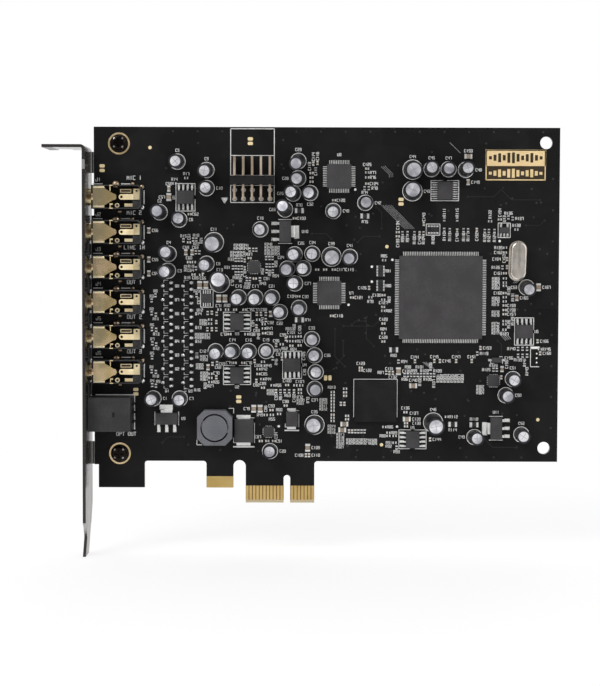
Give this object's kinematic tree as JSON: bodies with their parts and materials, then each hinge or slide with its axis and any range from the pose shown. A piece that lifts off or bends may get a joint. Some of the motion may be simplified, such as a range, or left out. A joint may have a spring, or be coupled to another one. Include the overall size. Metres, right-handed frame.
{
  "type": "pci sound card",
  "caption": "Black PCI sound card with a steel bracket, a column of gold audio jacks, an optical socket, flat-pack chips and leaning electrolytic capacitors",
  "frame": {"origin": "middle of the key notch on the finger edge, halfway through the board's thickness", "axes": "+X from the bracket along the board to its free end, +Z from the fingers up the board, -Y out of the component face"},
  "size_m": [0.1473, 0.0184, 0.1232],
  "materials": {
    "solder_mask": "satin black solder mask over copper",
    "gold_plate": "bright gold plating",
    "plated_steel": "bright nickel plating on sheet steel",
    "black_steel": "black oxide",
    "black_plastic": "fine matte moulding",
    "red_lens": "clear red lens",
    "chip_epoxy": "matte moulded epoxy",
    "tin": "tin plating",
    "ferrite": "dull grey ferrite",
    "copper": "enamelled copper wire",
    "bright_metal": "drawn bright metal",
    "can_aluminium": "bright drawn aluminium",
    "vinyl_sleeve": "dark shrink sleeve",
    "seal_rubber": "black rubber",
    "resistor_body": "dark glaze",
    "ceramic": "fired ceramic"
  },
  "bodies": {
    "root": {"circuit_board": "solder_mask", "edge_contacts": "gold_plate", "bracket": "plated_steel", "bracket_screws": "black_steel", "jack_1_housing": "black_plastic", "jack_1_sleeve": "gold_plate", "jack_1_contacts": "gold_plate", "jack_2_housing": "black_plastic", "jack_2_sleeve": "gold_plate", "jack_2_contacts": "gold_plate", "jack_3_housing": "black_plastic", "jack_3_sleeve": "gold_plate", "jack_3_contacts": "gold_plate", "jack_4_housing": "black_plastic", "jack_4_sleeve": "gold_plate", "jack_4_contacts": "gold_plate", "jack_5_housing": "black_plastic", "jack_5_sleeve": "gold_plate", "jack_5_contacts": "gold_plate", "jack_6_housing": "black_plastic", "jack_6_sleeve": "gold_plate", "jack_6_contacts": "gold_plate", "optical_housing": "black_plastic", "optical_emitter": "red_lens", "optical_pins": "tin", "header_strip": "black_plastic", "header_pins": "gold_plate", "audio_processor": "chip_epoxy", "audio_processor_leads": "tin", "converter_chips": "chip_epoxy", "converter_leads": "tin", "output_chip": "chip_epoxy", "output_chip_leads": "tin", "amplifier_chips": "chip_epoxy", "amplifier_leads": "tin", "small_chips": "chip_epoxy", "small_chip_leads": "tin", "flat_chips": "chip_epoxy", "bridge_chip": "chip_epoxy", "bridge_chip_balls": "tin", "regulators": "chip_epoxy", "regulator_leads": "tin", "mute_transistors": "chip_epoxy", "mute_transistor_leads": "tin", "inductor_shield": "ferrite", "inductor_core": "ferrite", "inductor_coil": "copper", "inductor_pads": "tin", "diodes": "chip_epoxy", "diode_terminals": "tin", "crystal_can": "bright_metal", "crystal_base": "bright_metal", "crystal_leads": "tin", "capacitor_cans": "can_aluminium", "capacitor_sleeves": "vinyl_sleeve", "capacitor_seals": "seal_rubber", "capacitor_leads": "tin", "chip_resistors": "resistor_body", "chip_capacitors": "ceramic", "chip_terminals": "tin"}
  },
  "joints": []
}
